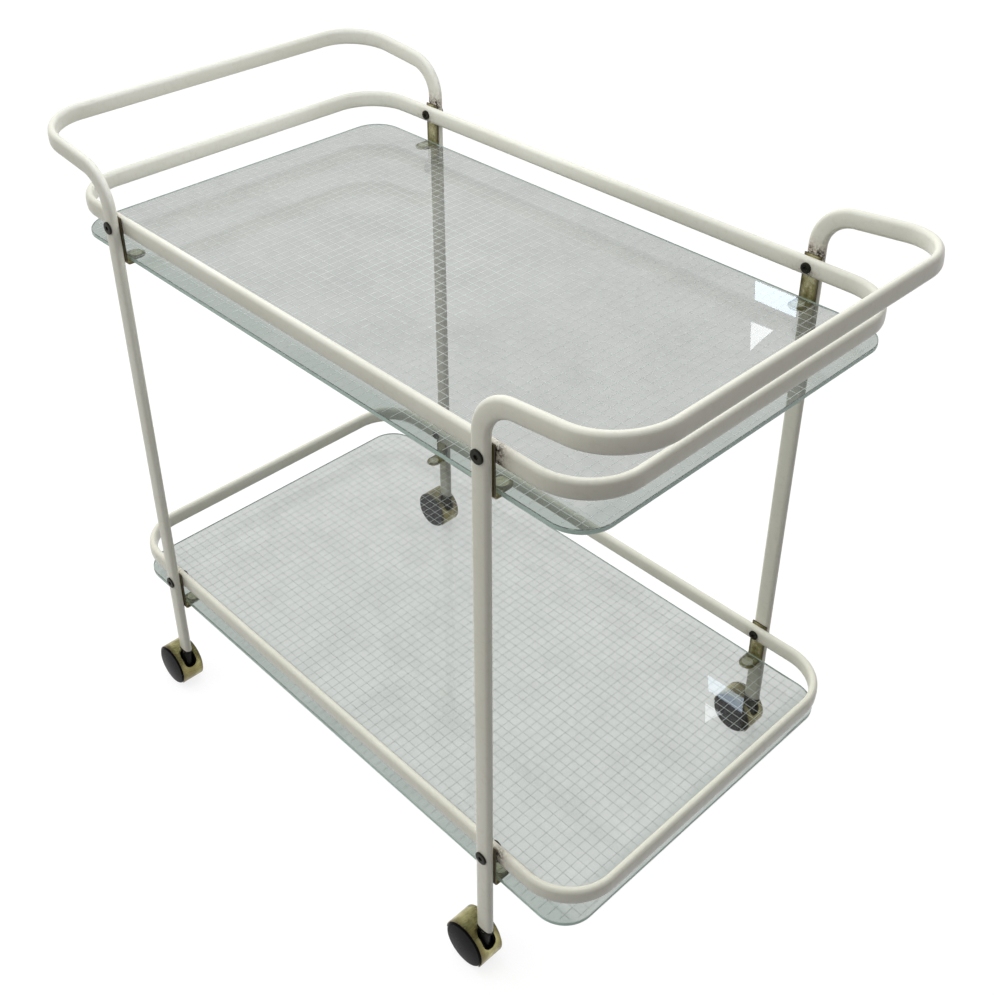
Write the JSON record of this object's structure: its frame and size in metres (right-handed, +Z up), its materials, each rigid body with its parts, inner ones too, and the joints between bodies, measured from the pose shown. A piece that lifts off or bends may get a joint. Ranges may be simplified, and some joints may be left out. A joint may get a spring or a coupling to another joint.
{
  "type": "serving cart",
  "caption": "Tall rolling serving cart of bent flat-oval tube, with railed wired-glass shelves above each other and hooded twin-wheel casters.",
  "frame": {"origin": "on the floor under the middle of the cart", "axes": "+X along the shelves to the right-hand handle, +Y from the front legs to the back legs, +Z up"},
  "size_m": [0.9568, 0.5468, 0.83],
  "materials": {
    "cream_paint": "semi-gloss, worn",
    "aged_brass": "aged, mottled",
    "wired_glass": "polished, wire mesh inside",
    "black_fastener": "satin",
    "soft_pad": "matt",
    "black_moulding": "matt",
    "steel_pin": "bright",
    "black_wheel": "gloss"
  },
  "bodies": {
    "cart": {"left_handle_frame": "cream_paint", "right_handle_frame": "cream_paint", "upper_rail": "cream_paint", "lower_rail": "cream_paint", "upper_glass": "wired_glass", "lower_glass": "wired_glass", "upper_bracket_front_left": "aged_brass", "upper_bracket_front_right": "aged_brass", "upper_bracket_rear_left": "aged_brass", "upper_bracket_rear_right": "aged_brass", "lower_bracket_front_left": "aged_brass", "lower_bracket_front_right": "aged_brass", "lower_bracket_rear_left": "aged_brass", "lower_bracket_rear_right": "aged_brass", "upper_bolts": "black_fastener", "lower_bolts": "black_fastener", "upper_cap_nuts": "black_fastener", "lower_cap_nuts": "black_fastener", "upper_glass_pads": "soft_pad", "lower_glass_pads": "soft_pad", "leg_plug_front_left": "black_moulding", "leg_plug_front_right": "black_moulding", "leg_plug_rear_left": "black_moulding", "leg_plug_rear_right": "black_moulding"},
    "caster_front_left": {"caster_stem_front_left": "steel_pin", "caster_core_front_left": "black_wheel", "caster_hood_front_left": "aged_brass", "caster_axle_front_left": "steel_pin"},
    "outer_wheel_front_left": {"outer_wheel_front_left": "black_wheel"},
    "inner_wheel_front_left": {"inner_wheel_front_left": "black_wheel"},
    "caster_front_right": {"caster_stem_front_right": "steel_pin", "caster_core_front_right": "black_wheel", "caster_hood_front_right": "aged_brass", "caster_axle_front_right": "steel_pin"},
    "outer_wheel_front_right": {"outer_wheel_front_right": "black_wheel"},
    "inner_wheel_front_right": {"inner_wheel_front_right": "black_wheel"},
    "caster_rear_left": {"caster_stem_rear_left": "steel_pin", "caster_core_rear_left": "black_wheel", "caster_hood_rear_left": "aged_brass", "caster_axle_rear_left": "steel_pin"},
    "outer_wheel_rear_left": {"outer_wheel_rear_left": "black_wheel"},
    "inner_wheel_rear_left": {"inner_wheel_rear_left": "black_wheel"},
    "caster_rear_right": {"caster_stem_rear_right": "steel_pin", "caster_core_rear_right": "black_wheel", "caster_hood_rear_right": "aged_brass", "caster_axle_rear_right": "steel_pin"},
    "outer_wheel_rear_right": {"outer_wheel_rear_right": "black_wheel"},
    "inner_wheel_rear_right": {"inner_wheel_rear_right": "black_wheel"}
  },
  "joints": [
    {"name": "swivel_front_left", "type": "hinge", "parent": "cart", "child": "caster_front_left", "pos_m": [-0.311, -0.25375, 0.05], "axis": [0, 0, 1], "continuous": true},
    {"name": "outer_roll_front_left", "type": "hinge", "parent": "caster_front_left", "child": "outer_wheel_front_left", "pos_m": [-0.3302, -0.25375, 0.029], "axis": [0, 1, 0], "continuous": true},
    {"name": "inner_roll_front_left", "type": "hinge", "parent": "caster_front_left", "child": "inner_wheel_front_left", "pos_m": [-0.3302, -0.25375, 0.029], "axis": [0, 1, 0], "continuous": true},
    {"name": "swivel_front_right", "type": "hinge", "parent": "cart", "child": "caster_front_right", "pos_m": [0.311, -0.25375, 0.05], "axis": [0, 0, 1], "continuous": true},
    {"name": "outer_roll_front_right", "type": "hinge", "parent": "caster_front_right", "child": "outer_wheel_front_right", "pos_m": [0.2918, -0.25375, 0.029], "axis": [0, 1, 0], "continuous": true},
    {"name": "inner_roll_front_right", "type": "hinge", "parent": "caster_front_right", "child": "inner_wheel_front_right", "pos_m": [0.2918, -0.25375, 0.029], "axis": [0, 1, 0], "continuous": true},
    {"name": "swivel_rear_left", "type": "hinge", "parent": "cart", "child": "caster_rear_left", "pos_m": [-0.311, 0.25375, 0.05], "axis": [0, 0, 1], "continuous": true},
    {"name": "outer_roll_rear_left", "type": "hinge", "parent": "caster_rear_left", "child": "outer_wheel_rear_left", "pos_m": [-0.3302, 0.25375, 0.029], "axis": [0, 1, 0], "continuous": true},
    {"name": "inner_roll_rear_left", "type": "hinge", "parent": "caster_rear_left", "child": "inner_wheel_rear_left", "pos_m": [-0.3302, 0.25375, 0.029], "axis": [0, 1, 0], "continuous": true},
    {"name": "swivel_rear_right", "type": "hinge", "parent": "cart", "child": "caster_rear_right", "pos_m": [0.311, 0.25375, 0.05], "axis": [0, 0, 1], "continuous": true},
    {"name": "outer_roll_rear_right", "type": "hinge", "parent": "caster_rear_right", "child": "outer_wheel_rear_right", "pos_m": [0.2918, 0.25375, 0.029], "axis": [0, 1, 0], "continuous": true},
    {"name": "inner_roll_rear_right", "type": "hinge", "parent": "caster_rear_right", "child": "inner_wheel_rear_right", "pos_m": [0.2918, 0.25375, 0.029], "axis": [0, 1, 0], "continuous": true}
  ]
}
